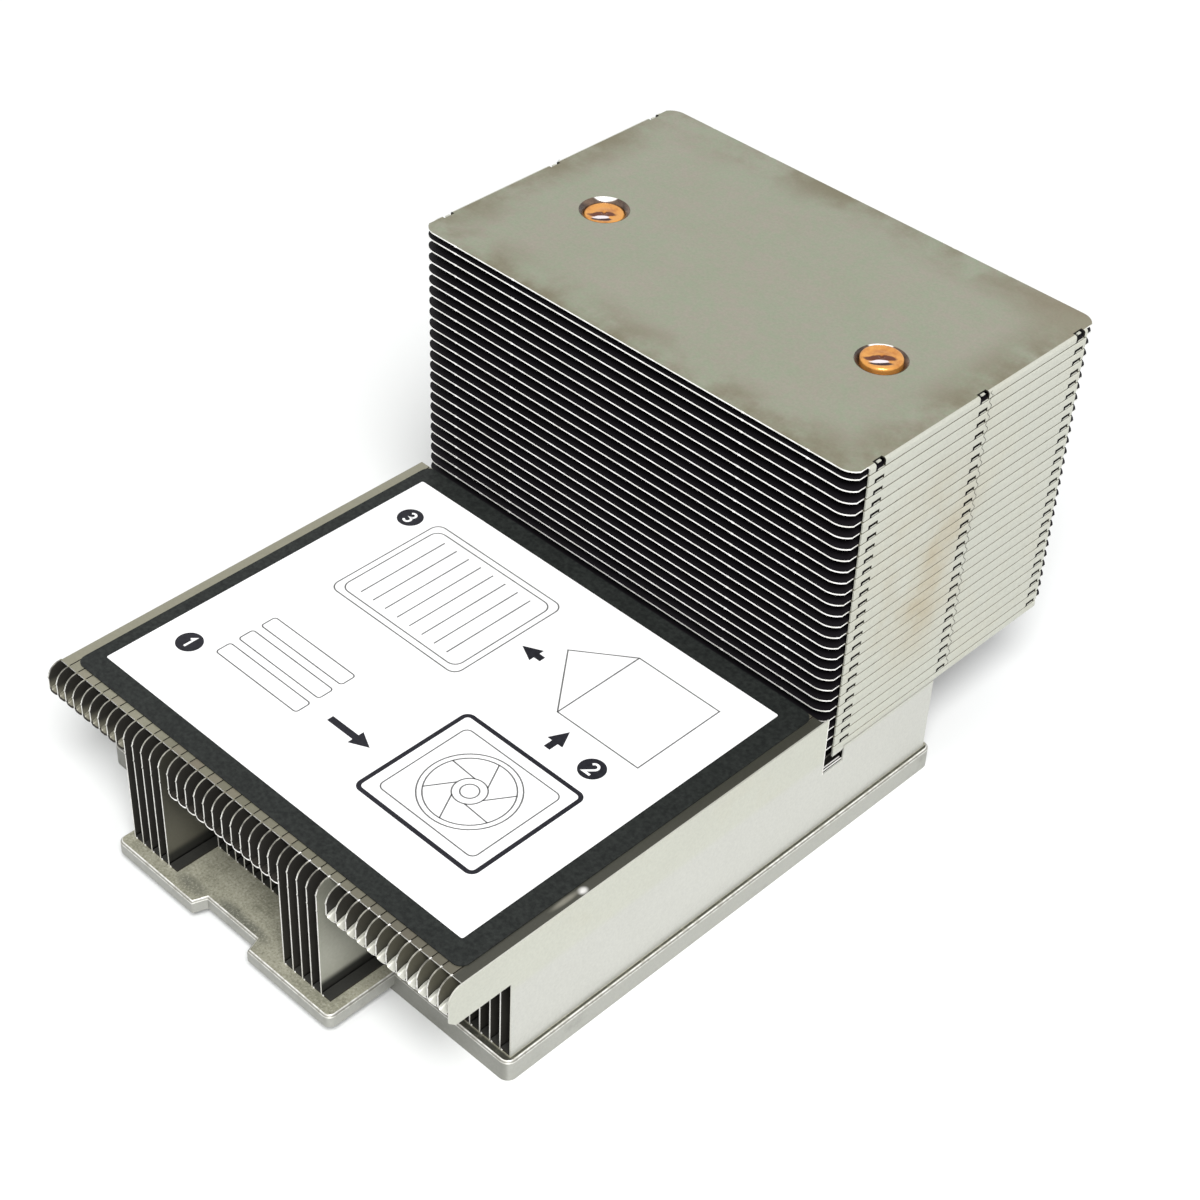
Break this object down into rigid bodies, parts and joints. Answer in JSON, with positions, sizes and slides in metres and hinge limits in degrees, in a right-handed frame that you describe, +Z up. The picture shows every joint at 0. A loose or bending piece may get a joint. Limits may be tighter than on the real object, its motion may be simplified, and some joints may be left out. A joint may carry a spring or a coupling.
{
  "type": "passive server cpu heatsink",
  "caption": "Passive server cpu heatsink: base plate with tongue, low block of folded upright fins, tall rear tower of level fins on bent heat pipes.",
  "frame": {"origin": "centre of the base plate's underside, which presses on the cpu", "axes": "+Z up away from the cpu, -Y towards the front tongue, +X to the right seen from the front"},
  "size_m": [0.0822, 0.1229, 0.0659],
  "materials": {
    "fins": "plain rolled sheet with faint stains",
    "base": "dull machined plate",
    "copper": "bright copper tube",
    "label": "matte printed film"
  },
  "bodies": {
    "root": {"base_plate": "base", "end_sheet": "fins", "heat_pipe_left": "copper", "heat_pipe_right": "copper", "label": "label", "long_fin_01": "fins", "long_fin_02": "fins", "long_fin_03": "fins", "long_fin_04": "fins", "long_fin_05": "fins", "long_fin_06": "fins", "long_fin_07": "fins", "long_fin_08": "fins", "long_fin_09": "fins", "long_fin_10": "fins", "short_fins_01": "fins", "short_fins_02": "fins", "short_fins_03": "fins", "short_fins_04": "fins", "short_fins_05": "fins", "short_fins_06": "fins", "short_fins_07": "fins", "short_fins_08": "fins", "short_fins_09": "fins", "short_fins_10": "fins", "short_fins_11": "fins", "short_fins_12": "fins", "short_fins_13": "fins", "short_fins_14": "fins", "short_fins_15": "fins", "short_fins_16": "fins", "short_fins_17": "fins", "tower_fin_01": "fins", "tower_fin_02": "fins", "tower_fin_03": "fins", "tower_fin_04": "fins", "tower_fin_05": "fins", "tower_fin_06": "fins", "tower_fin_07": "fins", "tower_fin_08": "fins", "tower_fin_09": "fins", "tower_fin_10": "fins", "tower_fin_11": "fins", "tower_fin_12": "fins", "tower_fin_13": "fins", "tower_fin_14": "fins", "tower_fin_15": "fins", "tower_fin_16": "fins", "tower_fin_17": "fins", "tower_fin_18": "fins", "tower_fin_19": "fins", "tower_fin_20": "fins", "tower_fin_21": "fins", "tower_fin_22": "fins", "tower_fin_23": "fins", "tower_fin_24": "fins", "tower_fin_25": "fins", "tower_fin_26": "fins", "tower_fin_27": "fins"}
  },
  "joints": []
}
